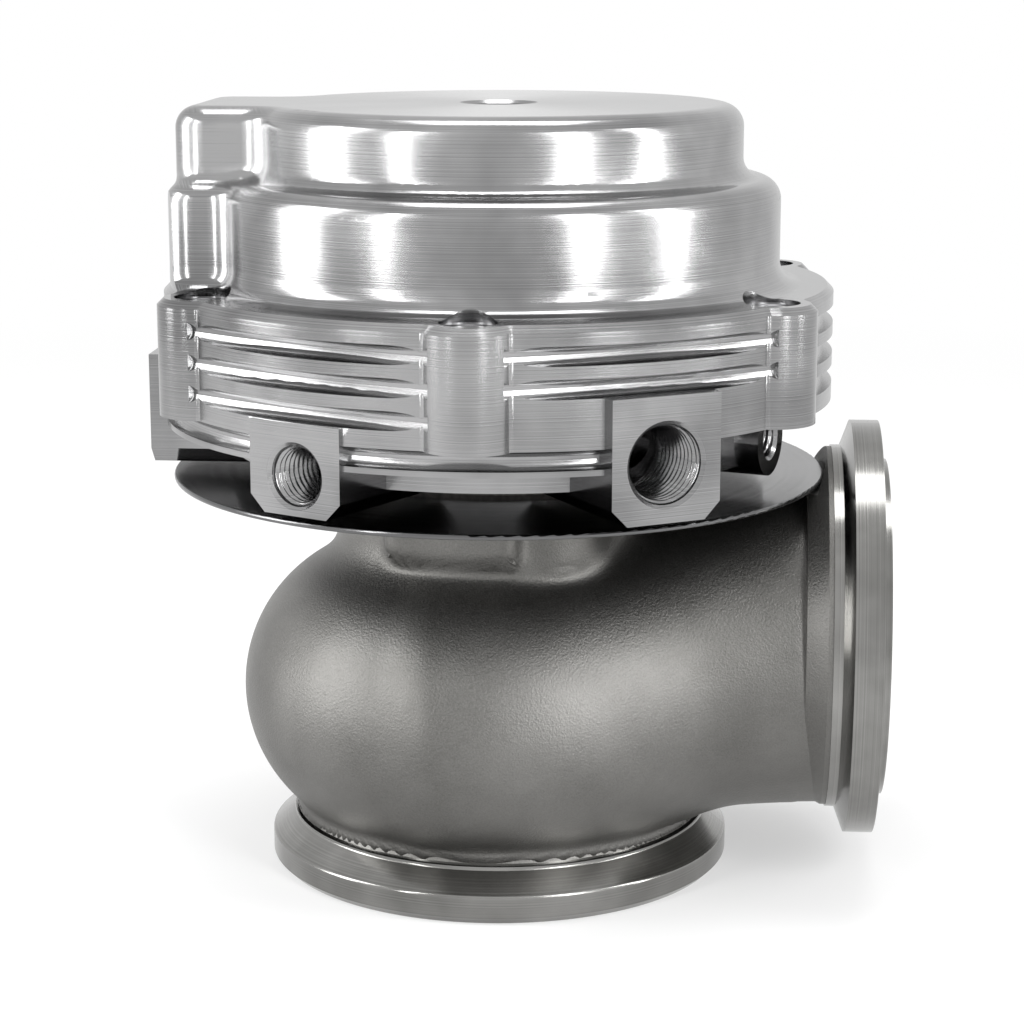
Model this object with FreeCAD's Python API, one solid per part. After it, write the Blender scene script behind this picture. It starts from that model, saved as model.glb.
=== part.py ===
import FreeCAD, Part
import math
import os

# External poppet wastegate with V-band flanges, millimetres, +Z up.
# The origin is the middle of the inlet flange's lower face, the valve moves along +Z,
# and the outlet points along +X.  Angles "phi" run from -Y towards +X, in degrees.

Vec = FreeCAD.Vector
up = Vec(0, 0, 1)

# running and seating clearances
runFit = 0.04            # radial, stem in its guide and bushing
seatGap = 0.06           # valve cone above its seat
loosePlay = 0.25         # radial, screws in plain holes
softGap = 0.3            # flexible parts and springs to their neighbours

# wider than the whole part, for trimming cuts
clearAll = 60.0

# valve stroke
lift = 11.0

# inlet flange and its seat ring
inletRimR = 32.5
inletRimTop = 3.9
inletRimEdge = 0.9
inletNeckR = 29.3
inletConeTop = 6.6
inletNeckTop = 7.0
inletGrooveR = 28.3
inletGrooveTop = 7.4
footR = 29.0             # the casting's foot flares out to the flange
footWaistR = 27.9
footWaistZ = 9.4
footRootZ = 12.4         # the waist runs up inside the bulb to here
seatR = 25.0
seatH = 6.5
seatThroatR = 20.5
seatFaceDrop = 2.0       # height of the 45 degree seating cone
portBoreR = 23.5         # casting bore above the seat ring

# cast bulb, a ring-shaped swelling about the stem
bulbZ = 25.0
bulbRingR = 15.6
bulbR = 20.4
castWall = 4.0

# pad under the heat shield, with its two raised lands
padTop = 55.4
padR = 22.4
landReach = 24.6
landHalf = 9.2
landDrop = 8.4
landPhi = -11.0
landRound = 2.8
bossR = 7.4
bossCentreR = 17.6
bossPhi = 27.0
bossDrop = 9.4

# outlet branch, its sections from the bulb outwards as X, Z, half width, half height
branchSections = [
    (-6.0, 25.6, 34.6, 20.0),
    (10.0, 27.0, 32.0, 20.7),
    (28.0, 30.0, 26.0, 22.1),
]
branchEndX = 45.6
branchEndZ = 31.9
branchEndR = 23.0
branchWall = 3.0
outletZ = 33.8
outletNeckR = 25.4
outletFlangeX = 46.3     # where the flange joins the branch
outletStep = 0.25        # the branch's end is this much slimmer than the flange's neck
outletBoreStep = 0.6
outletNeckX = 47.6
outletConeX = 48.9
outletRimR = 28.9
outletRimX = 52.8
outletLipR = 23.5
outletLipX = 54.0
outletBoreR = 21.8
collarStartX = 42.8

# heat shield and gasket
shieldR = 45.25
shieldT = 0.7
shieldClear = 0.5
gasketR = 21.4
gasketT = 0.8

# actuator plan, shared by base and cap
flangeR = 46.0
lobeCount = 6
lobeInset = 3.0          # the screw circle lies this far inside the flange's wall
lobeBoltR = flangeR - lobeInset
lobeR = 6.0
lobeBlend = 0.8
partingZ = 74.3
flangeTop = 82.2
flangeChamfer = 0.9

# cooling grooves, milled with a cutter swung about a far centre and stopped at the lobes
grooveR = 1.25
grooveDepth = 2.6
grooveSwing = 100.0
grooveHalfSpan = 24.3    # degrees each side of its middle
grooveCapZ = 78.4
grooveBaseZ = 70.2
grooveRingZ = 65.4       # one groove runs right round under the lobes
grooveRingDepth = 1.3

# base
lobeBottom = 66.6
ringBottom = 63.4
ringCutFrom = 44.0       # the lower ring stops behind the larger port
ringCutTo = 136.0
webBottom = 59.6
webR = flangeR - 9.0
hubR = 22.0
bossRoot = 18.0          # the port bosses start this far out, inside the hub
chamberWall = 10.0
chamberR = flangeR - chamberWall
chamberFloor = 66.2
bossFoot = 57.0
bossChamfer = 2.2

# threaded ports: 27-per-inch pipe threads shown by their plain major bores
airPhi = 31.0
airFace = flangeR + 1.4
airHalf = 7.7
airTop = 73.1
airZ = 64.4
airR = 5.15
airPassageR = 3.6
airPassageLift = 1.1     # the passage lies higher than its port, to break into the chamber
waterPhi = -28.9
waterFace = flangeR + 0.1
waterHalf = 7.1
waterTop = 68.9
waterZ = 62.1
waterR = 3.95
galleryZ = 62.4
galleryR = 27.0
gallerySection = 1.9
galleryDrillR = 1.7
portBreak = 10.0         # how far an air port's inner drilling runs under the chamber
smallPhi = 70.0
smallFace = webR + 3.0
smallBossR = 5.0
smallZ = 62.9
smallR = 2.5
rearPhi = -90.0
rearFace = flangeR + 1.7
rearHalf = 8.1
rearTop = 72.3
portBoreEnd = chamberR + 0.6   # the larger ports stop just outside the chamber wall
portMouth = 0.45         # countersink at every port's mouth

# cap
tierTwoH = 14.4
tierTwoTop = flangeTop + tierTwoH
tierOneH = 9.8
capTop = tierTwoTop + tierOneH
tierTwoR = flangeR - 7.4
tierOneR = tierTwoR - 5.2
tierRound = 3.0
tierBlend = 2.6
footBlend = 3.2
sideHalfOne = 13.5
sideHalfTwo = 16.5
sideFaceTwo = tierTwoR + 5.2
sideFaceOne = sideFaceTwo - 1.0
sideCorner = 4.5
sideBlend = 4.0
capWall = 4.0
capSkirtTop = flangeTop
capInnerTwoTop = tierTwoTop - capWall
plugBossR = 9.0
plugBossDrop = 8.4
plugR = 4.95
plugRecess = 1.2
plugHexAcross = 4.8
plugHexDepth = 3.6
sidePortZ = flangeTop + 5.8

# cap screws, M4
capScrewR = 2.0
capHeadR = 3.5
capHeadH = 4.0
capCounterR = 3.75
capCounterZ = 77.4
capScrewEnd = 68.0
capHexAcross = 3.0
capHexDepth = 2.0

# base screws, M5, into the casting
baseScrewR = 2.5
baseHeadR = 4.25
baseHeadH = 4.6
baseScrewCount = 4
baseScrewCircle = 16.4
baseScrewPhi = 45.0
baseScrewEnd = 45.0
baseHexAcross = 4.0
baseHexDepth = 2.5

# valve, guide and stem hardware
stemR = 4.0
headR = 22.4
headBottom = 4.6
headRimTop = 7.9
headConeTop = 10.6
headBossR = 6.4
headBossTop = 14.0
guideR = 6.5
guideBottom = headBossTop + lift + 5.0
guideTop = 54.6
guideFlangeR = 8.4
guideFlangeT = 1.6
bushR = 7.0
bushLedge = 58.3
sealH = 2.0
bushTop = 65.0
clipT = 0.8
clipR = 7.7
clipInnerR = 5.8

# diaphragm stack on the stem
plateBottom = 68.6
plateT = 1.9
plateR = chamberR - 5.4
diaphragmT = 0.8
beadInR = chamberR + 2.4
beadOutR = chamberR + 4.3
beadH = 1.2
cupFloorT = 2.2
cupRimH = 3.2
cupRimT = 1.6
cupInset = 1.0
studR = 3.0
washerR = 6.2
washerT = 1.0
nutAcross = 10.0
nutH = 5.0
studPast = 1.4

# springs
outerWireR = 1.9
springRoom = 1.6         # outer spring to the cup's rim
outerSpringR = plateR - cupInset - cupRimT - springRoom - outerWireR
outerTurns = 4.5
innerSpringR = 15.5
innerWireR = 1.5
innerTurns = 6.0


def direction(phi):
    angle = math.radians(phi)
    return Vec(math.sin(angle), -math.cos(angle), 0)


def solidOf(shape):
    """The shape as one clean solid where it is one."""
    cleaned = shape.removeSplitter()
    return cleaned.Solids[0] if len(cleaned.Solids) == 1 else cleaned


def tube(outerR, innerR, z0, z1):
    wall = Part.makeCylinder(outerR, z1 - z0, Vec(0, 0, z0))
    return wall.cut(Part.makeCylinder(innerR, z1 - z0 + 2, Vec(0, 0, z0 - 1)))


def disc(radius, z0, z1, centre=Vec(0, 0, 0)):
    return Part.makeCylinder(radius, z1 - z0, Vec(centre.x, centre.y, z0))


def roundedWire(corners):
    """Closed wire in the XZ plane through (r, z, round) corners, each rounded by its own radius."""
    points = [Vec(c[0], 0, c[1]) for c in corners]
    rounds = [c[2] if len(c) > 2 else 0 for c in corners]
    edges = []
    starts = []
    ends = []
    arcs = []
    for i, corner in enumerate(points):
        before = (points[i - 1] - corner).normalize()
        after = (points[(i + 1) % len(points)] - corner).normalize()
        if rounds[i] == 0:
            starts.append(corner)
            ends.append(corner)
            arcs.append(None)
            continue
        half = before.getAngle(after) / 2
        reach = rounds[i] / math.tan(half)
        middle = (before + after).normalize()
        centre = corner + middle * (rounds[i] / math.sin(half))
        starts.append(corner + before * reach)
        ends.append(corner + after * reach)
        arcs.append(centre - middle * rounds[i])
    for i in range(len(points)):
        if arcs[i] is not None:
            edges.append(Part.Arc(starts[i], arcs[i], ends[i]).toShape())
        following = (i + 1) % len(points)
        if ends[i].distanceToPoint(starts[following]) > 1e-6:
            edges.append(Part.makeLine(ends[i], starts[following]))
    return Part.Wire(Part.__sortEdges__(edges))


def turned(corners, axisAt=Vec(0, 0, 0), axis=up):
    """Solid of revolution about Z from (r, z, round) corners."""
    return Part.Face(roundedWire(corners)).revolve(axisAt, axis, 360)


def turnedAboutOutlet(corners):
    """Solid of revolution about the outlet axis from (x, r) corners."""
    points = [Vec(x, 0, outletZ + r) for x, r in corners]
    face = Part.Face(Part.makePolygon(points + [points[0]]))
    return face.revolve(Vec(0, 0, outletZ), Vec(1, 0, 0), 360)


def aroundStem(shape, count, firstPhi=0.0):
    """Copies of a shape made at phi = 0, turned evenly about the stem."""
    copies = []
    for i in range(count):
        copy = shape.copy()
        copy.rotate(Vec(0, 0, 0), up, firstPhi + 360.0 * i / count)
        copies.append(copy)
    return copies


def turnedToPhi(shape, phi):
    copy = shape.copy()
    copy.rotate(Vec(0, 0, 0), up, phi)
    return copy


def hexPrism(across, z0, z1, centre):
    reach = across / math.sqrt(3)
    points = []
    for i in range(7):
        angle = math.radians(60 * i)
        points.append(centre + Vec(reach * math.cos(angle), reach * math.sin(angle), z0 - centre.z))
    return Part.Face(Part.makePolygon(points)).extrude(Vec(0, 0, z1 - z0))


def verticalEdges(shape):
    chosen = []
    for edge in shape.Edges:
        if len(edge.Vertexes) != 2:
            continue
        run = edge.Vertexes[1].Point - edge.Vertexes[0].Point
        if run.Length > 0 and abs(run.z) > 0.999 * run.Length:
            chosen.append(edge)
    return chosen


def edgesAt(shape, z, tolerance=1e-3):
    return [e for e in shape.Edges if e.BoundBox.ZLength < tolerance and abs(e.BoundBox.ZMin - z) < tolerance]


def screw(radius, headRadius, headHeight, seatZ, tipZ, hexAcross, hexDepth, centre):
    """Socket head screw, upright, its head seated at seatZ."""
    shank = disc(radius, tipZ, seatZ, centre)
    head = disc(headRadius, seatZ, seatZ + headHeight, centre)
    rim = max(edgesAt(head, seatZ + headHeight), key=lambda e: e.Length)
    head = head.makeChamfer(0.4, [rim])
    socket = hexPrism(hexAcross, seatZ + headHeight - hexDepth, seatZ + headHeight + 1, centre)
    return solidOf(shank.fuse(head).cut(socket))


# ---- casting and inlet side

def branchSection(x, z, halfY, halfZ):
    """Elliptical section of the outlet branch, upright and square to X."""
    points = []
    for i in range(16):
        angle = math.radians(22.5 * i)
        points.append(Vec(x, halfY * math.cos(angle), z + halfZ * math.sin(angle)))
    curve = Part.BSplineCurve()
    curve.interpolate(Points=points, PeriodicFlag=True)
    return Part.Wire(curve.toShape())


def branchLoft(inset):
    """The branch grows out of the bulb's front, side and back and narrows to the outlet."""
    stations = branchSections + [(branchEndX, branchEndZ, branchEndR, branchEndR)]
    sections = [branchSection(x, z, halfY - inset, halfZ - inset) for x, z, halfY, halfZ in stations]
    return Part.makeLoft(sections, True, False)


def bulbSolid(inset):
    radius = bulbR - inset
    top = bulbZ + radius
    bottom = bulbZ - radius
    points = [Vec(0, 0, bottom), Vec(bulbRingR, 0, bottom), Vec(bulbRingR + radius, 0, bulbZ)]
    arc = Part.Arc(points[1], points[2], Vec(bulbRingR, 0, top)).toShape()
    edges = [
        Part.makeLine(points[0], points[1]),
        arc,
        Part.makeLine(Vec(bulbRingR, 0, top), Vec(0, 0, top)),
        Part.makeLine(Vec(0, 0, top), points[0]),
    ]
    return Part.Face(Part.Wire(edges)).revolve(Vec(0, 0, 0), up, 360)


def valveBody():
    pad = disc(padR, bulbZ, padTop)
    land = Part.makeBox(2 * landHalf, landReach, landDrop, Vec(-landHalf, -landReach, padTop - landDrop))
    front = [e for e in land.Edges if abs(e.BoundBox.YMin + landReach) < 1e-6 and e.BoundBox.YLength < 1e-6]
    front = [e for e in front if e.BoundBox.ZMax < padTop - 1e-6 or e.BoundBox.ZLength > 1]
    land = land.makeFillet(landRound, front)
    boss = disc(bossR, padTop - bossDrop, padTop, Vec(0, -bossCentreR, 0))
    lands = []
    for turn in (0, 180):
        lands.append(turnedToPhi(land, landPhi + turn))
        lands.append(turnedToPhi(boss, bossPhi + turn))
    outer = solidOf(bulbSolid(0).fuse(branchLoft(0))).fuse(pad)
    outer = outer.fuse(lands)
    outer = outer.cut(disc(inletRimR, -clearAll, footWaistZ))
    foot = turned([(0, inletGrooveTop), (footR, inletGrooveTop), (footWaistR, footWaistZ),
                   (footWaistR, footRootZ), (0, footRootZ)])
    outer = outer.fuse(foot)
    neck = turnedAboutOutlet([
        (collarStartX, 0),
        (collarStartX, branchEndR + 0.6),
        (branchEndX, outletNeckR - outletStep),
        (outletFlangeX, outletNeckR - outletStep),
        (outletFlangeX, 0),
    ])
    neck = neck.cut(disc(shieldR + shieldClear, padTop - shieldClear, padTop + clearAll))
    outer = outer.fuse(neck)

    cavity = bulbSolid(castWall).fuse(branchLoft(branchWall))
    cavity = cavity.cut(disc(clearAll, -clearAll, inletGrooveTop - 1))
    cavity = cavity.fuse(disc(portBoreR, inletGrooveTop - 1, bulbZ))
    boreStart = branchEndX - 0.4
    boreLength = outletFlangeX - boreStart + 1
    boreR = outletBoreR - outletBoreStep
    bore = Part.makeCylinder(boreR, boreLength, Vec(boreStart, 0, outletZ), Vec(1, 0, 0))
    cavity = cavity.fuse(bore)
    guideHole = disc(guideR, guideBottom, padTop + 1)
    guideSpot = disc(guideFlangeR, guideTop - guideFlangeT, padTop + 1)
    body = outer.cut(cavity).cut([guideHole, guideSpot])
    tapped = disc(baseScrewR, baseScrewEnd - 1.0, padTop + 1, direction(0) * baseScrewCircle)
    body = body.cut(aroundStem(tapped, baseScrewCount, baseScrewPhi))
    return solidOf(body)


def inletFlange():
    """V-band flange that the casting stands on, with the pocket for the seat ring."""
    return turned([
        (seatR, 0),
        (inletRimR - inletRimEdge, 0),
        (inletRimR, inletRimEdge),
        (inletRimR, inletRimTop, 0.4),
        (inletNeckR, inletConeTop, 0.3),
        (inletNeckR, inletNeckTop),
        (inletGrooveR, inletNeckTop),
        (inletGrooveR, inletGrooveTop),
        (portBoreR, inletGrooveTop),
        (portBoreR, seatH),
        (seatR, seatH),
    ])


def outletFlange():
    """V-band flange on the branch's end, with its raised lip."""
    return turnedAboutOutlet([
        (outletFlangeX, outletBoreR),
        (outletFlangeX, outletNeckR),
        (outletNeckX, outletNeckR),
        (outletConeX, outletRimR),
        (outletRimX, outletRimR),
        (outletRimX, outletLipR),
        (outletLipX, outletLipR),
        (outletLipX, outletBoreR),
    ])


def valveSeat():
    ring = turned([
        (seatThroatR, 0),
        (seatR, 0),
        (seatR, seatH),
        (seatThroatR + seatFaceDrop, seatH),
        (seatThroatR, seatH - seatFaceDrop),
    ])
    return ring


def valveGuide():
    sleeve = disc(guideR, guideBottom, guideTop)
    flange = disc(guideFlangeR, guideTop - guideFlangeT, guideTop)
    return solidOf(sleeve.fuse(flange).cut(disc(stemR + runFit, guideBottom - 1, guideTop + 1)))


def heatShield():
    sheet = disc(shieldR, padTop, padTop + shieldT)
    holes = [disc(stemR + 2.5, padTop - 1, padTop + 2)]
    hole = disc(baseScrewR + loosePlay, padTop - 1, padTop + 2, direction(0) * baseScrewCircle)
    holes += aroundStem(hole, baseScrewCount, baseScrewPhi)
    sheet = sheet.cut(holes)
    rims = [e for e in sheet.Edges if e.Closed and abs(e.Length - 2 * math.pi * shieldR) < 1e-3]
    return solidOf(sheet.makeFillet(shieldT * 0.4, rims))


def shieldGasket():
    z0 = padTop + shieldT
    ring = tube(gasketR, stemR + 4.0, z0, z0 + gasketT)
    hole = disc(baseScrewR + loosePlay, z0 - 1, z0 + gasketT + 1, direction(0) * baseScrewCircle)
    return solidOf(ring.cut(aroundStem(hole, baseScrewCount, baseScrewPhi)))


# ---- actuator base

def planDisc(z0, z1, inset):
    """Flange outline with its six screw lobes, drawn in by inset."""
    plan = disc(flangeR - inset, z0, z1)
    lobe = disc(lobeR - inset, z0, z1, direction(0) * lobeBoltR)
    plan = solidOf(plan.fuse(aroundStem(lobe, lobeCount)))
    return solidOf(plan.makeFillet(lobeBlend, verticalEdges(plan)))


def grooveCutter(z, phi):
    """Round-nosed cutter that mills one tapering groove in the wall that faces phi, between two lobes."""
    noseR = flangeR - grooveDepth + grooveSwing + grooveR
    nose = Part.makeTorus(noseR, grooveR, Vec(0, grooveSwing, z), up)
    sides = tube(noseR + 2 * grooveDepth, noseR, z - grooveR, z + grooveR)
    sides.translate(Vec(0, grooveSwing, 0))
    foot = Vec(0, 0, z - grooveR - 1)
    corners = [foot]
    corners += [foot + direction(turn) * clearAll for turn in (grooveHalfSpan, -grooveHalfSpan)]
    wedge = Part.Face(Part.makePolygon(corners + [corners[0]])).extrude(Vec(0, 0, 2 * grooveR + 2))
    return turnedToPhi(nose.common(wedge).fuse(sides.common(wedge)), phi)


def portBlock(phi, face, half, foot, top, chamfer):
    """Flat-faced boss for a threaded port, its lower corners cut off."""
    block = Part.makeBox(2 * half, face - bossRoot, top - foot, Vec(-half, -face, foot))
    lower = [e for e in block.Edges if e.BoundBox.YLength > 1 and abs(e.BoundBox.ZMax - foot) < 1e-6]
    block = block.makeChamfer(chamfer, lower)
    return turnedToPhi(block, phi)


def drilled(phi, face, z, radius, depth):
    """Plain round bar or drilling square to the stem, from the given distance inwards."""
    out = direction(phi)
    return Part.makeCylinder(radius, depth, out * face + Vec(0, 0, z), out * -1)


def portBore(phi, face, z, radius, depth):
    """Threaded port's bore with its countersunk mouth."""
    out = direction(phi)
    mouth = Part.makeCone(radius + portMouth, radius, portMouth, out * face + Vec(0, 0, z), out * -1)
    return drilled(phi, face + 1, z, radius, depth + 1).fuse(mouth)


def lowerRing():
    """Short round skirt under the lobes, cut back to the web behind the larger port."""
    top = lobeBottom + 0.5
    ring = disc(flangeR, ringBottom, top)
    step = 12.0
    boxes = []
    phi = ringCutFrom + step / 2
    while phi < ringCutTo:
        box = Part.makeBox(flangeR / 2, flangeR, top - ringBottom + 2,
                           Vec(-flangeR / 4, -webR - flangeR, ringBottom - 1))
        boxes.append(turnedToPhi(box, phi))
        phi += step
    return ring.cut(boxes[0].fuse(boxes[1:])).fuse(disc(webR, ringBottom, top))


def actuatorBase():
    gasketTop = padTop + shieldT + gasketT
    web = disc(webR, webBottom, lobeBottom + 0.5)
    hub = disc(hubR, gasketTop, webBottom + 1)
    body = planDisc(lobeBottom, partingZ, 0).fuse([lowerRing(), web, hub])
    halfPitch = 180.0 / lobeCount
    cutters = [grooveCutter(partingZ, halfPitch * (2 * i + 1)) for i in range(lobeCount)]
    cutters += [grooveCutter(grooveBaseZ, phi) for phi in (-30, 90, 150, 210)]
    cutters.append(Part.makeTorus(flangeR - grooveRingDepth + grooveR, grooveR, Vec(0, 0, grooveRingZ)))
    for cutter in cutters:
        body = body.cut(cutter)
    blocks = [
        portBlock(airPhi, airFace, airHalf, bossFoot, airTop, bossChamfer),
        portBlock(waterPhi, waterFace, waterHalf, bossFoot, waterTop, bossChamfer),
        drilled(smallPhi, smallFace, smallZ, smallBossR, smallFace - bossRoot),
        portBlock(rearPhi, rearFace, rearHalf, bossFoot, rearTop, bossChamfer),
    ]
    for block in blocks:
        body = body.fuse(block)
    screwAt = direction(0) * baseScrewCircle
    counter = disc(baseHeadR + loosePlay, chamberFloor - baseHeadH - 0.2, chamberFloor + 1, screwAt)
    clearHole = disc(baseScrewR + loosePlay, gasketTop - 1, chamberFloor, screwAt)
    tapped = disc(capScrewR, capScrewEnd - 0.6, partingZ + 1, direction(0) * lobeBoltR)
    holes = [
        disc(chamberR, chamberFloor, partingZ + 1),
        disc(beadOutR + loosePlay, partingZ - beadH, partingZ + 1),
        disc(bushR, bushLedge, chamberFloor + 1),
        disc(stemR + loosePlay, gasketTop - 1, chamberFloor),
        disc(clipR, bushTop, bushTop + clipT),
        Part.makeTorus(galleryR, gallerySection, Vec(0, 0, galleryZ)),
        portBore(airPhi, airFace, airZ, airR, airFace - portBoreEnd),
        drilled(airPhi, chamberR + 2, airZ + airPassageLift, airPassageR, portBreak),
        portBore(waterPhi, waterFace, waterZ, waterR, waterFace - portBoreEnd),
        drilled(waterPhi, portBoreEnd + 1, galleryZ, galleryDrillR, portBoreEnd + 1 - galleryR),
        portBore(smallPhi, smallFace, smallZ, smallR, smallFace - galleryR - gallerySection - 0.5),
        drilled(smallPhi, galleryR + gallerySection + 1, galleryZ, galleryDrillR, gallerySection + 1),
        portBore(rearPhi, rearFace, airZ, airR, rearFace - portBoreEnd),
        drilled(rearPhi, chamberR + 2, airZ + airPassageLift, airPassageR, portBreak),
    ]
    holes += aroundStem(counter.fuse(clearHole), baseScrewCount, baseScrewPhi)
    holes += aroundStem(tapped, lobeCount)
    for hole in holes:
        body = body.cut(hole)
    return body.Solids[0]


# ---- cap

def sideBox(half, face, z0, z1):
    block = Part.makeBox(face, 2 * half, z1 - z0, Vec(-face, -half, z0))
    outer = [e for e in verticalEdges(block) if abs(e.BoundBox.XMin + face) < 1e-6]
    return block.makeFillet(sideCorner, outer)


def capTier(radius, half, face, top):
    """One step of the cap: a round tier with the port boss blended into it and a soft top edge."""
    foot = flangeTop - 1.0
    step = solidOf(disc(radius, foot, top).fuse(sideBox(half, face, foot, top)))
    step = solidOf(step.makeFillet(sideBlend, [e for e in verticalEdges(step) if e.BoundBox.XMin > -radius
                                               and abs(abs(e.BoundBox.YMin) - half) < 1e-3]))
    return solidOf(step.makeFillet(tierRound, edgesAt(step, top)))


def capSolid():
    """Both tiers on the flange, with a flare at the foot that stops at the flange's edge."""
    tierOne = capTier(tierOneR, sideHalfOne, sideFaceOne, capTop)
    tierTwo = capTier(tierTwoR, sideHalfTwo, sideFaceTwo, tierTwoTop)
    tiers = solidOf(tierTwo.fuse(tierOne))
    tiers = solidOf(tiers.makeFillet(tierBlend, innerLoop(tiers, tierTwoTop)))
    wide = disc(2 * flangeR, partingZ, flangeTop)
    foot = solidOf(wide.fuse(tiers))
    foot = solidOf(foot.makeFillet(footBlend, innerLoop(foot, flangeTop)))
    trimmed = foot.common(planDisc(partingZ, capTop + 1, flangeChamfer))
    flange = planDisc(partingZ, flangeTop, 0)
    flange = flange.makeChamfer(flangeChamfer, edgesAt(flange, flangeTop))
    return solidOf(flange.fuse(trimmed))


def innerLoop(shape, z):
    """Edges of the walls that rise from the level face at height z."""
    level = [f for f in shape.Faces if f.BoundBox.ZLength < 1e-6 and abs(f.BoundBox.ZMin - z) < 1e-6]
    level = max(level, key=lambda f: f.Area)
    wires = sorted(level.Wires, key=lambda w: w.BoundBox.DiagonalLength)
    return wires[0].Edges


def cap():
    body = capSolid()
    roofOne = capTop - capWall
    inside = turned([
        (0, partingZ - 1),
        (chamberR, partingZ - 1),
        (chamberR, capSkirtTop, 2.0),
        (tierTwoR - capWall, capSkirtTop + 2.0, 0),
        (tierTwoR - capWall, capInnerTwoTop, 2.0),
        (tierOneR - capWall, capInnerTwoTop + 2.0, 1.0),
        (tierOneR - capWall, roofOne, 2.0),
        (0, roofOne),
    ])
    inside = inside.cut(disc(plugBossR, capTop - plugBossDrop, capTop))
    out = Vec(-1, 0, 0)
    spotface = Part.makeCylinder(airR + portMouth, clearAll, Vec(-sideFaceTwo, 0, sidePortZ), out)
    side = Vec(-sideFaceTwo - 1, 0, sidePortZ)
    counter = disc(capCounterR, capCounterZ, capTop + 1, direction(0) * lobeBoltR)
    clearHole = disc(capScrewR + loosePlay, partingZ - 1, capCounterZ + 1, direction(0) * lobeBoltR)
    holes = [
        inside,
        disc(plugR, capTop - plugBossDrop - 1, capTop + 1),
        Part.makeCone(plugR, plugR + portMouth, portMouth, Vec(0, 0, capTop - portMouth)),
        spotface,
        Part.makeCylinder(airR, sideFaceTwo + 1 - (tierTwoR - capWall - 2.0), side, out * -1),
    ]
    holes += aroundStem(counter.fuse(clearHole), lobeCount)
    halfPitch = 180.0 / lobeCount
    for i in range(lobeCount):
        holes.append(grooveCutter(partingZ, halfPitch * (2 * i + 1)))
        holes.append(grooveCutter(grooveCapZ, halfPitch * (2 * i + 1)))
    for hole in holes:
        body = body.cut(hole)
    return solidOf(body)


def capScrews():
    one = screw(capScrewR, capHeadR, capHeadH, capCounterZ, capScrewEnd, capHexAcross, capHexDepth,
                direction(0) * lobeBoltR)
    return Part.makeCompound(aroundStem(one, lobeCount))


def baseScrews():
    seatZ = chamberFloor - baseHeadH - 0.2
    one = screw(baseScrewR, baseHeadR, baseHeadH, seatZ, baseScrewEnd, baseHexAcross, baseHexDepth,
                direction(0) * baseScrewCircle)
    return Part.makeCompound(aroundStem(one, baseScrewCount, baseScrewPhi))


def topPortPlug():
    top = capTop - plugRecess
    plug = disc(plugR, capTop - plugBossDrop, top)
    rim = max(edgesAt(plug, top), key=lambda e: e.Length)
    plug = plug.makeChamfer(0.5, [rim])
    return solidOf(plug.cut(hexPrism(plugHexAcross, top - plugHexDepth, top + 1, Vec(0, 0, 0))))


# ---- stem parts held in the base

def stemSeal():
    return tube(bushR, stemR + runFit, bushLedge, bushLedge + sealH)


def stemBushing():
    return tube(bushR, stemR + runFit, bushLedge + sealH, bushTop)


def bushingClip():
    clip = tube(clipR, clipInnerR, bushTop, bushTop + clipT)
    gap = Part.makeBox(3.0, clipR + 1, clipT + 2, Vec(-1.5, -clipR - 1, bushTop - 1))
    return solidOf(clip.cut(gap))


# ---- moving stack

def stackHeights():
    """Lower faces of the plate, diaphragm, cup, washer and nut, and the stud's end."""
    heights = [plateBottom]
    for thickness in (plateT, diaphragmT, cupFloorT, washerT, nutH, studPast):
        heights.append(heights[-1] + thickness)
    return heights


def poppetValve():
    cone = seatThroatR - (seatH - seatFaceDrop) - seatGap * math.sqrt(2)
    rimLow = headR - cone
    heights = stackHeights()
    valve = turned([
        (0, headBottom),
        (cone + headBottom, headBottom),
        (headR, rimLow),
        (headR, headRimTop, 0.6),
        (headBossR + 3.0, headConeTop, 6.0),
        (stemR, headBossTop, 3.0),
        (stemR, plateBottom),
        (studR, plateBottom),
        (studR, heights[-1], 0.5),
        (0, heights[-1]),
    ])
    return valve


def diaphragmPlate():
    plate = tube(plateR, studR, plateBottom, plateBottom + plateT)
    rims = [e for e in edgesAt(plate, plateBottom) if e.Length > 100]
    return solidOf(plate.makeFillet(plateT * 0.6, rims))


def diaphragm():
    low = stackHeights()[1]
    high = low + diaphragmT
    foldR = chamberR - softGap
    ring = turned([
        (studR + softGap, low),
        (plateR, low),
        (foldR, partingZ - beadH, 1.0),
        (beadOutR, partingZ - beadH),
        (beadOutR, partingZ),
        (beadInR, partingZ),
        (foldR - diaphragmT, partingZ - softGap, 1.0),
        (plateR - 0.5, high),
        (studR + softGap, high),
    ])
    return ring


def springCup():
    low = stackHeights()[2]
    floor = low + cupFloorT
    cup = turned([
        (studR, low),
        (plateR - cupInset, low, 0.6),
        (plateR - cupInset, floor + cupRimH, 0.4),
        (plateR - cupInset - cupRimT, floor + cupRimH, 0.4),
        (plateR - cupInset - cupRimT, floor, 0.4),
        (studR, floor),
    ])
    return cup


def stemWasher():
    low = stackHeights()[3]
    return tube(washerR, studR, low, low + washerT)


def stemNut():
    low = stackHeights()[4]
    nut = hexPrism(nutAcross, low, low + nutH, Vec(0, 0, 0))
    cone = turned([(0, low), (nutAcross / 2 * 1.02, low), (nutAcross * 0.6, low + 0.6),
                   (nutAcross * 0.6, low + nutH - 0.6), (nutAcross / 2 * 1.02, low + nutH), (0, low + nutH)])
    return solidOf(nut.common(cone).cut(disc(studR, low - 1, low + nutH + 1)))


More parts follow.
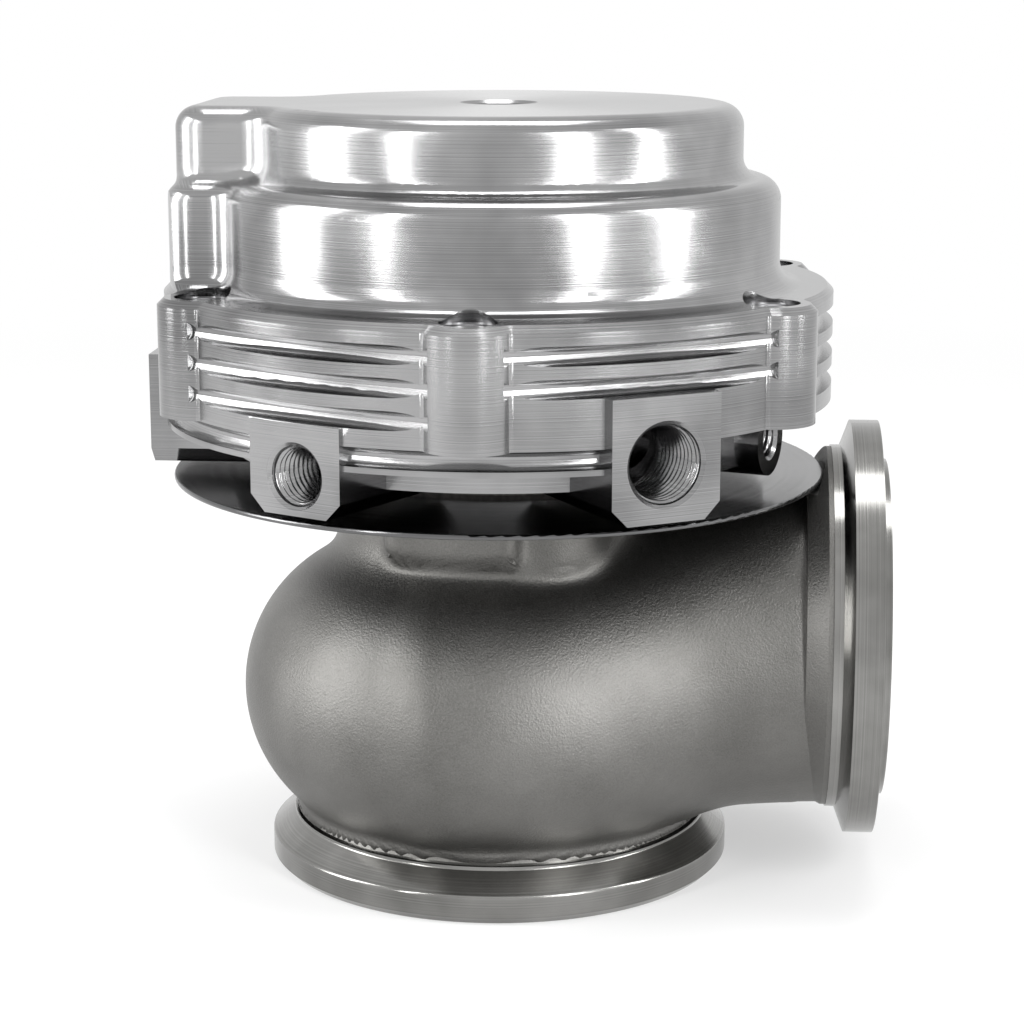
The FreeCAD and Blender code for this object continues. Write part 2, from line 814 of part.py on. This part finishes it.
def coilSpring(radius, wireR, turns, roof):
    """Compression spring between the cup's floor and the cap's roof."""
    floor = stackHeights()[3]
    low = floor + wireR + softGap / 3
    high = roof - wireR - softGap / 3
    helix = Part.makeHelix((high - low) / turns, high - low, radius)
    helix.translate(Vec(0, 0, low))
    section = Part.Wire(Part.makeCircle(wireR, Vec(radius, 0, low), Vec(0, 1, 0)))
    coil = Part.Wire(helix).makePipeShell([section], True, True)
    return coil.Solids[0] if coil.Solids else coil


def outerSpring():
    return coilSpring(outerSpringR, outerWireR, outerTurns, capTop - capWall)


def innerSpring():
    return coilSpring(innerSpringR, innerWireR, innerTurns, capTop - capWall)


nodes = {
    "valve_body": valveBody,
    "inlet_flange": inletFlange,
    "outlet_flange": outletFlange,
    "valve_seat": valveSeat,
    "valve_guide": valveGuide,
    "heat_shield": heatShield,
    "shield_gasket": shieldGasket,
    "actuator_base": actuatorBase,
    "base_screws": baseScrews,
    "stem_seal": stemSeal,
    "stem_bushing": stemBushing,
    "bushing_clip": bushingClip,
    "actuator_cap": cap,
    "cap_screws": capScrews,
    "top_port_plug": topPortPlug,
    "diaphragm": diaphragm,
    "outer_spring": outerSpring,
    "inner_spring": innerSpring,
    "poppet_valve": poppetValve,
    "diaphragm_plate": diaphragmPlate,
    "spring_cup": springCup,
    "stem_washer": stemWasher,
    "stem_nut": stemNut,
}

os.makedirs("parts", exist_ok=True)
for name, make in nodes.items():
    shape = make()
    shape.exportStep("parts/" + name + ".step")
    print(name, len(shape.Solids), round(shape.Volume, 1), shape.isValid())
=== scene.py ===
import bpy
import math
import numpy as np
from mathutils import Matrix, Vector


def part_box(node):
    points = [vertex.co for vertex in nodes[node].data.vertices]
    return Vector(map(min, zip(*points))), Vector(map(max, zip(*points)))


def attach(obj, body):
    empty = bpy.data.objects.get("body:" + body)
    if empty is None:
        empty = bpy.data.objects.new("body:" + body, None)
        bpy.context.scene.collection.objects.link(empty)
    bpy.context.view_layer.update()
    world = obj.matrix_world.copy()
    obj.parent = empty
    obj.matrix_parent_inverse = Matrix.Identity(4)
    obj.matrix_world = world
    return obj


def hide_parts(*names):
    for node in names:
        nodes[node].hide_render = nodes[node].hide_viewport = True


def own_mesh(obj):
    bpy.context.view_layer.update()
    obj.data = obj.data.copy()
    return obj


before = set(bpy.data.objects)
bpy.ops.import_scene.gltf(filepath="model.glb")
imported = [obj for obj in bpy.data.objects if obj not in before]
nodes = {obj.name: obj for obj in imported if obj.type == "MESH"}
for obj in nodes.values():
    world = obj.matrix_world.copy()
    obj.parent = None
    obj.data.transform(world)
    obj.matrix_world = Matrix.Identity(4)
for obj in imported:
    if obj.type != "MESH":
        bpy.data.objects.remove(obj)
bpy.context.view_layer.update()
mm = 0.001
scene = bpy.context.scene
scene.view_settings.view_transform = "Standard"


# a grid of quads over rows x cols points; wrap joins the last column to the first
def gridFaces(rows, cols, wrap=True):
    r, c = np.meshgrid(np.arange(rows - 1), np.arange(cols if wrap else cols - 1), indexing="ij")
    right = (c + 1) % cols
    quads = np.stack([r * cols + c, r * cols + right, (r + 1) * cols + right, (r + 1) * cols + c], axis=-1)
    return quads.reshape(-1, 4)


# an object of this name in the scene
def addObject(name, data):
    made = bpy.data.objects.new(name, data)
    scene.collection.objects.link(made)
    return made


# puts points in millimetres and faces into a smooth mesh object in the shared frame
def makePiece(name, points, faces, body, material):
    mesh = bpy.data.meshes.new(name)
    mesh.from_pydata((points.reshape(-1, 3) * mm).tolist(), [], faces.tolist())
    mesh.polygons.foreach_set("use_smooth", np.ones(len(faces), dtype=bool))
    mesh.materials.append(material)
    mesh.update()
    piece = addObject(name, mesh)
    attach(piece, body)
    return piece


class Wiring:
    def __init__(self, tree):
        self.tree = tree

    # in0, in1 and so on are sockets by place; any other name is a socket's own, with _ for its spaces
    def node(self, kind, settings=None, **inputs):
        made = self.tree.nodes.new(kind)
        for key, value in (settings or {}).items():
            setattr(made, key, value)
        for key, value in inputs.items():
            byPlace = key.startswith("in") and key[2:].isdigit()
            socket = made.inputs[int(key[2:]) if byPlace else key.replace("_", " ")]
            if isinstance(value, bpy.types.NodeSocket):
                self.tree.links.new(value, socket)
            else:
                socket.default_value = value
        return made

    def math(self, operation, a, b=0.0):
        return self.node("ShaderNodeMath", {"operation": operation}, in0=a, in1=b).outputs[0]

    def ramp(self, value, stops, interpolation="LINEAR"):
        made = self.node("ShaderNodeValToRGB", in0=value)
        made.color_ramp.interpolation = interpolation
        elements = made.color_ramp.elements
        while len(elements) < len(stops):
            elements.new(0.5)
        for element, (place, colour) in zip(elements, stops):
            element.position = place
            element.color = (*colour, 1.0)
        return made.outputs["Color"]

    def noise(self, vector, scale, detail=2.0, rough=0.5):
        made = self.node("ShaderNodeTexNoise", Vector=vector, Scale=scale, Detail=detail, Roughness=rough)
        return made.outputs["Fac"]

    # a straight line from one range of values to another, held at both ends
    def span(self, value, start, end):
        made = self.node("ShaderNodeMapRange", Value=value, From_Min=start[0], From_Max=start[1],
                         To_Min=end[0], To_Max=end[1])
        return made.outputs[0]

    # 1 on the rays that show the background: the camera's, and those off metal and through glass
    def seenRays(self):
        path = self.node("ShaderNodeLightPath").outputs
        return self.math("MAXIMUM", path["Is Camera Ray"],
                         self.math("MAXIMUM", path["Is Glossy Ray"], path["Is Transmission Ray"]))


# wiring for a material or a world, started with no nodes
def bareWiring(owner):
    owner.use_nodes = True
    owner.node_tree.nodes.clear()
    return Wiring(owner.node_tree)


def newMaterial(name):
    material = bpy.data.materials.new(name)
    wiring = bareWiring(material)
    shader = wiring.node("ShaderNodeBsdfPrincipled")
    wiring.node("ShaderNodeOutputMaterial", in0=shader.outputs[0])
    coords = wiring.node("ShaderNodeTexCoord").outputs["Object"]
    return material, wiring, shader, coords


turnedMarks = {"outletAxis": 0.0338, "endOn": 0.72, "driftScale": 45.0, "drift": 0.00012,
               "patchShare": 0.7, "ringShare": 0.3, "stain": (0.3, 0.62), "rough": (0.35, 0.65)}


# turned or milled metal: fine marks run round the walls and in rings on the ends, under faint stains
def turnedMetal(name, look):
    material, w, shader, coords = newMaterial(name)
    marks = turnedMarks
    x, y, z = w.node("ShaderNodeSeparateXYZ", Vector=coords).outputs
    facing = w.node("ShaderNodeTexCoord").outputs["Normal"]
    nx, _, nz = w.node("ShaderNodeSeparateXYZ", Vector=facing).outputs
    sideways = look.get("axis") == "X"
    if sideways:
        x, z, nz = w.math("SUBTRACT", z, marks["outletAxis"]), x, nx
    radius = w.math("SQRT", w.math("ADD", w.math("MULTIPLY", x, x), w.math("MULTIPLY", y, y)))
    endOn = w.math("GREATER_THAN", w.math("ABSOLUTE", nz), marks["endOn"])
    upright = w.math("MULTIPLY", z, w.math("SUBTRACT", 1.0, endOn))
    along = w.math("ADD", upright, w.math("MULTIPLY", radius, endOn))
    drift = w.math("MULTIPLY", w.noise(coords, marks["driftScale"]), marks["drift"])
    along = w.math("ADD", along, drift)
    rings = w.node("ShaderNodeTexNoise", {"noise_dimensions": "1D"}, W=along, Scale=look["rings"], Detail=3.0)
    patches = w.noise(coords, look["patches"], 3.0)
    grain = w.noise(coords, look["grain"], 2.0)
    dark, light = look["colours"]
    blend = w.math("ADD", w.math("MULTIPLY", patches, marks["patchShare"]),
                   w.math("MULTIPLY", rings.outputs["Fac"], marks["ringShare"]))
    colour = w.ramp(blend, list(zip(marks["stain"], (dark, light))))
    w.tree.links.new(colour, shader.inputs["Base Color"])
    rough = w.span(blend, marks["rough"], look["roughness"])
    w.tree.links.new(rough, shader.inputs["Roughness"])
    height = w.math("ADD", rings.outputs["Fac"], w.math("MULTIPLY", grain, look["grainShare"]))
    bump = w.node("ShaderNodeBump", Height=height, Strength=look["bump"], Distance=look["depth"])
    w.tree.links.new(bump.outputs[0], shader.inputs["Normal"])
    # the marks run round the axis, so light is spread across them
    back = w.math("MULTIPLY", x if sideways else y, -1.0)
    lay = w.node("ShaderNodeCombineXYZ", in0=0.0 if sideways else back, in1=back if sideways else x,
                 in2=y if sideways else 0.0)
    w.tree.links.new(lay.outputs[0], shader.inputs["Tangent"])
    shader.inputs["Anisotropic"].default_value = look["spread"]
    shader.inputs["Metallic"].default_value = 1.0
    return material


castMarks = {"pitDetail": (3.0, 0.6), "swellDetail": (4.0, 0.55), "cellScale": 0.6, "cellShare": 0.5,
             "swellShare": 0.65, "pitShare": 0.35, "stain": (0.34, 0.64), "rough": (0.3, 0.7)}


# blasted casting: close pits over slow swells, greyer where the blasting was light
def castMetal(name, look):
    material, w, shader, coords = newMaterial(name)
    marks = castMarks
    pits = w.noise(coords, look["pits"], *marks["pitDetail"])
    swell = w.noise(coords, look["swell"], *marks["swellDetail"])
    cellScale = look["pits"] * marks["cellScale"]
    cells = w.node("ShaderNodeTexVoronoi", Vector=coords, Scale=cellScale).outputs["Distance"]
    blend = w.math("ADD", w.math("MULTIPLY", swell, marks["swellShare"]),
                   w.math("MULTIPLY", pits, marks["pitShare"]))
    colour = w.ramp(blend, list(zip(marks["stain"], look["colours"])))
    w.tree.links.new(colour, shader.inputs["Base Color"])
    rough = w.span(pits, marks["rough"], look["roughness"])
    w.tree.links.new(rough, shader.inputs["Roughness"])
    height = w.math("ADD", pits, w.math("MULTIPLY", cells, marks["cellShare"]))
    bump = w.node("ShaderNodeBump", Height=height, Strength=look["bump"], Distance=look["depth"])
    w.tree.links.new(bump.outputs[0], shader.inputs["Normal"])
    shader.inputs["Metallic"].default_value = 1.0
    return material


softMarks = {"waver": 0.6, "stain": (0.3, 0.7), "bump": 0.4, "depth": 0.00008}


# rubber, cloth or fibre: woven ripple for cloth, plain grain otherwise
def softMaterial(name, look):
    material, w, shader, coords = newMaterial(name)
    grain = w.noise(coords, look["grain"], 3.0)
    weave = w.node("ShaderNodeTexWave", {"wave_type": "BANDS"}, Vector=coords, Scale=look["weave"],
                   Distortion=softMarks["waver"])
    height = w.math("ADD", w.math("MULTIPLY", weave.outputs["Fac"], look["weaveShare"]), grain)
    colour = w.ramp(grain, list(zip(softMarks["stain"], look["colours"])))
    w.tree.links.new(colour, shader.inputs["Base Color"])
    bump = w.node("ShaderNodeBump", Height=height, Strength=softMarks["bump"], Distance=softMarks["depth"])
    w.tree.links.new(bump.outputs[0], shader.inputs["Normal"])
    shader.inputs["Roughness"].default_value = look["rough"]
    return material


billet = turnedMetal("billetAluminium", {
    "rings": 6500.0, "patches": 55.0, "grain": 2600.0, "grainShare": 0.3,
    "colours": ((0.16, 0.16, 0.162), (0.36, 0.36, 0.362)), "roughness": (0.13, 0.21),
    "bump": 0.12, "depth": 0.00002, "spread": 0.8})
flangeSteel = turnedMetal("turnedStainless", {
    "rings": 5200.0, "patches": 80.0, "grain": 3000.0, "grainShare": 0.4,
    "colours": ((0.15, 0.149, 0.142), (0.28, 0.277, 0.268)), "roughness": (0.12, 0.22),
    "bump": 0.14, "depth": 0.00002, "spread": 0.6})
sideSteel = turnedMetal("turnedStainlessSide", {
    "axis": "X", "rings": 5200.0, "patches": 80.0, "grain": 3000.0, "grainShare": 0.4,
    "colours": ((0.15, 0.149, 0.142), (0.28, 0.277, 0.268)), "roughness": (0.12, 0.22),
    "bump": 0.14, "depth": 0.00002, "spread": 0.6})
shieldSheet = turnedMetal("polishedSheet", {
    "rings": 900.0, "patches": 40.0, "grain": 900.0, "grainShare": 0.2,
    "colours": ((0.10, 0.10, 0.102), (0.17, 0.17, 0.172)), "roughness": (0.14, 0.24),
    "bump": 0.06, "depth": 0.00002, "spread": 0.4})
screwSteel = turnedMetal("screwSteel", {
    "rings": 2200.0, "patches": 160.0, "grain": 2400.0, "grainShare": 0.5,
    "colours": ((0.30, 0.30, 0.31), (0.52, 0.52, 0.53)), "roughness": (0.22, 0.36),
    "bump": 0.2, "depth": 0.00003, "spread": 0.3})
springSteel = turnedMetal("springSteel", {
    "rings": 1400.0, "patches": 120.0, "grain": 3000.0, "grainShare": 1.2,
    "colours": ((0.22, 0.23, 0.25), (0.40, 0.41, 0.43)), "roughness": (0.30, 0.42),
    "bump": 0.25, "depth": 0.00004, "spread": 0.0})
bronze = turnedMetal("turnedBronze", {
    "rings": 2600.0, "patches": 130.0, "grain": 2000.0, "grainShare": 0.3,
    "colours": ((0.50, 0.34, 0.17), (0.70, 0.52, 0.29)), "roughness": (0.20, 0.34),
    "bump": 0.2, "depth": 0.00003, "spread": 0.5})
casting = castMetal("blastedCasting", {
    "pits": 4600.0, "swell": 34.0,
    "colours": ((0.095, 0.093, 0.088), (0.195, 0.192, 0.184)), "roughness": (0.36, 0.54),
    "bump": 0.7, "depth": 0.00007})
sealRubber = softMaterial("sealRubber", {
    "grain": 1800.0, "weave": 10.0, "weaveShare": 0.0,
    "colours": ((0.02, 0.02, 0.02), (0.06, 0.06, 0.06)), "rough": 0.55})
gasketFibre = softMaterial("gasketFibre", {
    "grain": 1400.0, "weave": 10.0, "weaveShare": 0.0,
    "colours": ((0.18, 0.17, 0.16), (0.30, 0.29, 0.27)), "rough": 0.8})
diaphragmCloth = softMaterial("diaphragmCloth", {
    "grain": 900.0, "weave": 900.0, "weaveShare": 1.0,
    "colours": ((0.07, 0.06, 0.06), (0.14, 0.12, 0.12)), "rough": 0.65})

nodeLooks = {
    "valve_body": casting, "inlet_flange": flangeSteel, "outlet_flange": sideSteel, "valve_seat": flangeSteel,
    "valve_guide": bronze, "heat_shield": shieldSheet, "shield_gasket": gasketFibre, "actuator_base": billet,
    "base_screws": screwSteel, "stem_seal": sealRubber,
    "stem_bushing": bronze, "bushing_clip": springSteel, "actuator_cap": billet, "cap_screws": screwSteel,
    "top_port_plug": screwSteel, "diaphragm": diaphragmCloth, "outer_spring": springSteel,
    "inner_spring": springSteel, "poppet_valve": flangeSteel, "diaphragm_plate": billet, "spring_cup": billet,
    "stem_washer": screwSteel, "stem_nut": screwSteel}
for nodeName, material in nodeLooks.items():
    nodes[nodeName].data.materials.clear()
    nodes[nodeName].data.materials.append(material)
print("materials on", len(nodeLooks), "nodes")


# the casting's blasted skin, a little proud of its solid
castShape = {
    "bulbZ": 25.0, "ringR": 15.6, "bulbR": 20.4, "padR": 22.4, "padTop": 55.36,
    "stations": [(-6.0, 25.6, 34.6, 20.0), (10.0, 27.0, 32.0, 20.7), (28.0, 30.0, 26.0, 22.1),
                 (45.6, 31.9, 23.0, 23.0)],
    "landReach": 24.6, "landHalf": 9.2, "landDrop": 8.4, "landPhi": (-11.0, 169.0),
    "bossR": 7.4, "bossAt": 17.6, "bossDrop": 9.4, "bossPhi": (27.0, 207.0),
    "footR": 29.0, "waistR": 27.9, "waistZ": 9.4, "footTop": 12.4, "trimFall": 4.0, "trimRun": 3.0,
    "foot": 7.45, "endX": 44.6, "proud": 0.12, "branchRound": 10.0, "branchBlend": 5.0, "padBlend": 4.0,
    "landBlend": 2.2, "edgeRound": 2.4, "footBlend": 2.0,
    "tuckRun": 2.4, "tuck": 0.5, "reach": (3.0, 80.0), "halvings": 34, "poleGap": 0.002,
    "footOpenR": 26.0, "endGap": 0.05, "topGap": 0.02,
    "centre": (6.0, 0.0, 27.0), "rows": 250, "cols": 340}


# smooth minimum of two distances: where they differ by less than k the surface swells to fill the corner
def smoothMin(a, b, k):
    h = np.clip(k - np.abs(a - b), 0, None) / k
    return np.minimum(a, b) - h * h * k / 4


# smooth maximum of two distances: an edge between them comes out round
def smoothMax(a, b, k):
    return -smoothMin(-a, -b, k)


# distance to the casting: ring swelling, elliptical branch, pad, lands, bosses and flared foot, blended
def castDistance(p, s):
    x, y, z = p[..., 0], p[..., 1], p[..., 2]
    r = np.hypot(x, y)
    bulb = np.hypot(np.clip(r - s["ringR"], 0, None), z - s["bulbZ"]) - s["bulbR"]
    at = np.array(s["stations"])
    xs = np.clip(x, at[0, 0], at[-1, 0])
    middle, half, tall = (np.polyval(np.polyfit(at[:, 0], at[:, i], 3), xs) for i in (1, 2, 3))
    behind = np.clip(at[0, 0] - x, 0, None) / s["branchRound"]
    scaled = np.sqrt((y / half) ** 2 + ((z - middle) / tall) ** 2 + behind ** 2)
    branch = (scaled - 1) * np.minimum(half, tall)
    pad = np.maximum(r - s["padR"], s["bulbZ"] - z)
    body = smoothMin(smoothMin(bulb, branch, s["branchBlend"]), pad, s["padBlend"])
    for phi in s["landPhi"]:
        a = math.radians(phi)
        outward, across = x * math.sin(a) - y * math.cos(a), x * math.cos(a) + y * math.sin(a)
        sides = smoothMax(outward - s["landReach"], np.abs(across) - s["landHalf"], s["edgeRound"])
        land = smoothMax(np.maximum(sides, -outward), s["padTop"] - s["landDrop"] - z, s["edgeRound"])
        body = smoothMin(body, land, s["landBlend"])
    for phi in s["bossPhi"]:
        a = math.radians(phi)
        boss = np.hypot(x - s["bossAt"] * math.sin(a), y + s["bossAt"] * math.cos(a)) - s["bossR"]
        boss = smoothMax(boss, s["padTop"] - s["bossDrop"] - z, s["edgeRound"])
        body = smoothMin(body, boss, s["landBlend"])
    flare = np.clip((s["waistZ"] - z) / (s["waistZ"] - s["foot"]), 0, 1)
    foot = np.maximum(r - s["waistR"] - flare * (s["footR"] - s["waistR"]), z - s["footTop"])
    trim = s["waistZ"] - s["trimFall"] * np.clip((r - s["footR"]) / s["trimRun"], 0, 1) - z
    return smoothMin(np.maximum(body, trim), foot, s["footBlend"])


# rays from one inner point in all directions, each halved down to where the distance is zero
def castSkin(s):
    v = np.linspace(s["poleGap"], math.pi - s["poleGap"], s["rows"])[:, None]
    u = np.linspace(0, 2 * math.pi, s["cols"], endpoint=False)[None, :]
    ray = np.stack([-np.cos(v) + 0 * u, np.sin(v) * np.cos(u), np.sin(v) * np.sin(u)], axis=-1)
    centre = np.array(s["centre"])
    near, far = (np.full(ray.shape[:2], reach) for reach in s["reach"])
    for _ in range(s["halvings"]):
        middle = (near + far) / 2
        p = centre + ray * middle[..., None]
        tuck = np.clip((p[..., 0] - s["endX"] + s["tuckRun"]) / s["tuckRun"], 0, 1) * s["tuck"]
        solid = castDistance(p, s) - s["proud"] + tuck
        solid = np.maximum.reduce([solid, p[..., 2] - s["padTop"], s["foot"] - p[..., 2],
                                   p[..., 0] - s["endX"]])
        inside = solid < 0
        near, far = np.where(inside, middle, near), np.where(inside, far, middle)
    points = (centre + ray * near[..., None]).reshape(-1, 3)
    faces = gridFaces(s["rows"], s["cols"])
    mid = points[faces].mean(axis=1)
    endCap = mid[:, 0] > s["endX"] - s["endGap"]
    footCap = (mid[:, 2] < s["foot"] + s["endGap"]) & (np.hypot(mid[:, 0], mid[:, 1]) < s["footOpenR"])
    topCap = mid[:, 2] > s["padTop"] - s["topGap"]
    faces = faces[~(endCap | footCap | topCap)]
    used, place = np.unique(faces, return_inverse=True)
    return points[used], place.reshape(-1, 4)


skinPoints, skinFaces = castSkin(castShape)
makePiece("casting_skin", skinPoints, skinFaces, "root", casting)
print("casting skin", len(skinFaces), "quads")


# threads in the open ports, all lengths in millimetres
threadLook = {"pitch": 0.94, "depth": 0.5, "perPitch": 10, "around": 96, "ride": 0.03, "below": 0.55,
              "fadeIn": 0.7, "fadeOut": 0.4}
ports = {
    "air_port_thread": {"phi": 31.0, "face": 47.4, "z": 64.4, "r": 5.15, "end": 36.6},
    "water_port_thread": {"phi": -28.9, "face": 46.1, "z": 62.1, "r": 3.95, "end": 36.6},
    "small_port_thread": {"phi": 70.0, "face": 40.0, "z": 62.9, "r": 2.5, "end": 30.2},
    "rear_port_thread": {"phi": -90.0, "face": 47.7, "z": 64.4, "r": 5.15, "end": 36.6},
    "cap_port_thread": {"phi": -90.0, "face": 43.8, "z": 88.0, "r": 5.15, "end": 35.4}}


# a tube whose radius falls and rises once per pitch, its crest turning with the angle to make the helix
def threadTube(port, look):
    depth = port["face"] - look["below"] - port["end"]
    rows = int(depth / look["pitch"] * look["perPitch"])
    t = np.linspace(0, depth, rows)[:, None]
    a = np.linspace(0, 2 * math.pi, look["around"], endpoint=False)[None, :]
    phase = (t / look["pitch"] + a / (2 * math.pi)) % 1.0
    crest = 1 - np.abs(2 * phase - 1)
    fade = np.clip(t / look["fadeIn"], 0, 1) * np.clip((depth - t) / look["fadeOut"], 0, 1)
    radius = port["r"] - look["ride"] - look["depth"] * crest * fade
    phi = math.radians(port["phi"])
    out = np.array([math.sin(phi), -math.cos(phi), 0])
    side = np.array([math.cos(phi), math.sin(phi), 0])
    rise = np.array([0, 0, 1.0])
    start = out * (port["face"] - look["below"]) + rise * port["z"]
    return (start - out * t[..., None] + side * (radius * np.cos(a))[..., None]
            + rise * (radius * np.sin(a))[..., None]), rows


for name, port in ports.items():
    points, rows = threadTube(port, threadLook)
    makePiece(name, points, gridFaces(rows, threadLook["around"]), "root", billet)
print("threads in", len(ports), "ports")


# springs as coils of round wire and the diaphragm as a centre and a fold, in place of their solids
springs = {
    "outer_coil": {"node": "outer_spring", "r": 24.5, "wire": 1.9, "turns": 4.5},
    "inner_coil": {"node": "inner_spring", "r": 15.5, "wire": 1.5, "turns": 6.0}}
coilLook = {"perTurn": 72, "around": 20, "closing": 0.09}


# round wire carried along a helix whose pitch closes up over the first and last half turn
def coil(s, look, low, high):
    t = np.linspace(0, 1, int(s["turns"] * look["perTurn"]))[:, None]
    a = np.linspace(0, 2 * math.pi, look["around"], endpoint=False)[None, :]
    angle = t * s["turns"] * 2 * math.pi
    share = t - look["closing"] * np.sin(2 * math.pi * t)
    z = low + s["wire"] + share * (high - low - 2 * s["wire"])
    radius = s["r"] + s["wire"] * np.cos(a)
    return np.stack([radius * np.cos(angle), radius * np.sin(angle), z + s["wire"] * np.sin(a)], axis=-1)


for name, s in springs.items():
    low, high = (corner.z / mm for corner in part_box(s["node"]))
    points = coil(s, coilLook, low, high)
    faces = gridFaces(*points.shape[:2])
    piece = makePiece(name, points, faces, "root", springSteel)
    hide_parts(s["node"])
    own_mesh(piece)

diaphragmLook = {"low": 70.52, "high": 71.28, "hole": 3.3, "plate": 30.6, "fold": 35.7, "ledge": 73.12,
                 "bead": 38.4, "rim": 40.28, "top": 74.28, "split": 0.02, "shoulder": (0.8, 0.3),
                 "around": 128}


# a closed outline of radius and height turned about the stem
def turnedRing(profile, around):
    profile = np.array(profile)
    a = np.linspace(0, 2 * math.pi, around, endpoint=False)
    r, z = profile[:, 0][:, None], profile[:, 1][:, None]
    points = np.stack([r * np.cos(a), r * np.sin(a), z + 0 * a], axis=-1)
    closed = np.concatenate([points, points[:1]])
    return closed, gridFaces(len(closed), around)


d = diaphragmLook
centreRing = [(d["plate"], d["low"]), (d["plate"], d["high"]), (d["hole"], d["high"]), (d["hole"], d["low"])]
inward, downward = d["shoulder"]
foldStart = d["plate"] + d["split"]
foldRing = [(foldStart, d["low"]), (d["fold"], d["ledge"]), (d["rim"], d["ledge"]), (d["rim"], d["top"]),
            (d["bead"], d["top"]), (d["fold"] - inward, d["top"] - downward), (foldStart, d["high"])]
for name, outline, body in (("diaphragm_centre", centreRing, "valve"), ("diaphragm_fold", foldRing, "root")):
    points, faces = turnedRing(outline, d["around"])
    piece = makePiece(name, points, faces[:, ::-1], body, diaphragmCloth)
    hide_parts("diaphragm")
    if body == "root":
        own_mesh(piece)
print("springs and diaphragm")


# the floor is pale and clears to white away from the part
floorLook = {"size": 3.0, "clear": (0.16, 0.55), "clearShare": (0.45, 1.0), "tone": 0.9}
floorMesh = bpy.data.meshes.new("floor")
half = floorLook["size"]
floorCorners = [(-half, -half, 0), (half, -half, 0), (half, half, 0), (-half, half, 0)]
floorMesh.from_pydata(floorCorners, [], [(0, 1, 2, 3)])
floor = addObject("floor", floorMesh)
floorMaterial = bpy.data.materials.new("paleFloor")
w = bareWiring(floorMaterial)
coords = w.node("ShaderNodeTexCoord").outputs["Object"]
away = w.node("ShaderNodeVectorMath", {"operation": "LENGTH"}, in0=coords).outputs["Value"]
share = w.math("MULTIPLY", w.span(away, floorLook["clear"], floorLook["clearShare"]), w.seenRays())
matte = w.node("ShaderNodeBsdfDiffuse", Color=(floorLook["tone"],) * 3 + (1,))
glow = w.node("ShaderNodeEmission", Color=(1, 1, 1, 1), Strength=1.0)
mix = w.node("ShaderNodeMixShader", in0=share, in1=matte.outputs[0], in2=glow.outputs[0])
w.node("ShaderNodeOutputMaterial", in0=mix.outputs[0])
floorMesh.materials.append(floorMaterial)

# the metal and the camera see plain white, and the diffuse light is a little lower
room = {"level": 0.62, "white": 1.0}
world = bpy.data.worlds.new("room")
scene.world = world
w = bareWiring(world)
plain, white = (w.node("ShaderNodeBackground", Color=(1, 1, 1, 1), Strength=room[kind])
                for kind in ("level", "white"))
mix = w.node("ShaderNodeMixShader", in0=w.seenRays(), in1=plain.outputs[0], in2=white.outputs[0])
w.node("ShaderNodeOutputWorld", in0=mix.outputs[0])

lamps = {
    "left": {"at": (-0.60, -0.12, 0.22), "wide": 0.22, "tall": 0.60, "watts": 3.4},
    "leftFront": {"at": (-0.42, -0.50, 0.25), "wide": 0.05, "tall": 0.60, "watts": 1.6},
    "rightFront": {"at": (0.40, -0.50, 0.25), "wide": 0.12, "tall": 0.60, "watts": 2.6},
    "right": {"at": (0.62, -0.14, 0.25), "wide": 0.07, "tall": 0.60, "watts": 2.2},
    "top": {"at": (0.0, 0.05, 0.70), "wide": 0.40, "tall": 0.25, "watts": 2.0}}
for name, lamp in lamps.items():
    light = bpy.data.lights.new(name, "AREA")
    light.shape, light.size, light.size_y = "RECTANGLE", lamp["wide"], lamp["tall"]
    light.energy = lamp["watts"]
    holder = addObject(name, light)
    holder.location = lamp["at"]
    aim = Vector((0, 0, 0.05)) - holder.location
    holder.rotation_euler = aim.to_track_quat("-Z", "Y").to_euler()

view = {"distance": 0.3574, "height": 0.1273, "turn": 5.0, "down": 12.33, "right": 0.29, "lens": 91.16,
        "sensor": 36.0, "clip": 0.01}
camera = bpy.data.cameras.new("camera")
camera.lens = view["lens"]
camera.sensor_width = view["sensor"]
camera.clip_start = view["clip"]
cameraHolder = addObject("camera", camera)
turn = math.radians(view["turn"])
cameraHolder.location = (view["distance"] * math.sin(turn), -view["distance"] * math.cos(turn),
                         view["height"])
cameraHolder.rotation_euler = (math.radians(90 - view["down"]), 0, turn - math.radians(view["right"]))
scene.camera = cameraHolder
print("floor, light and camera")
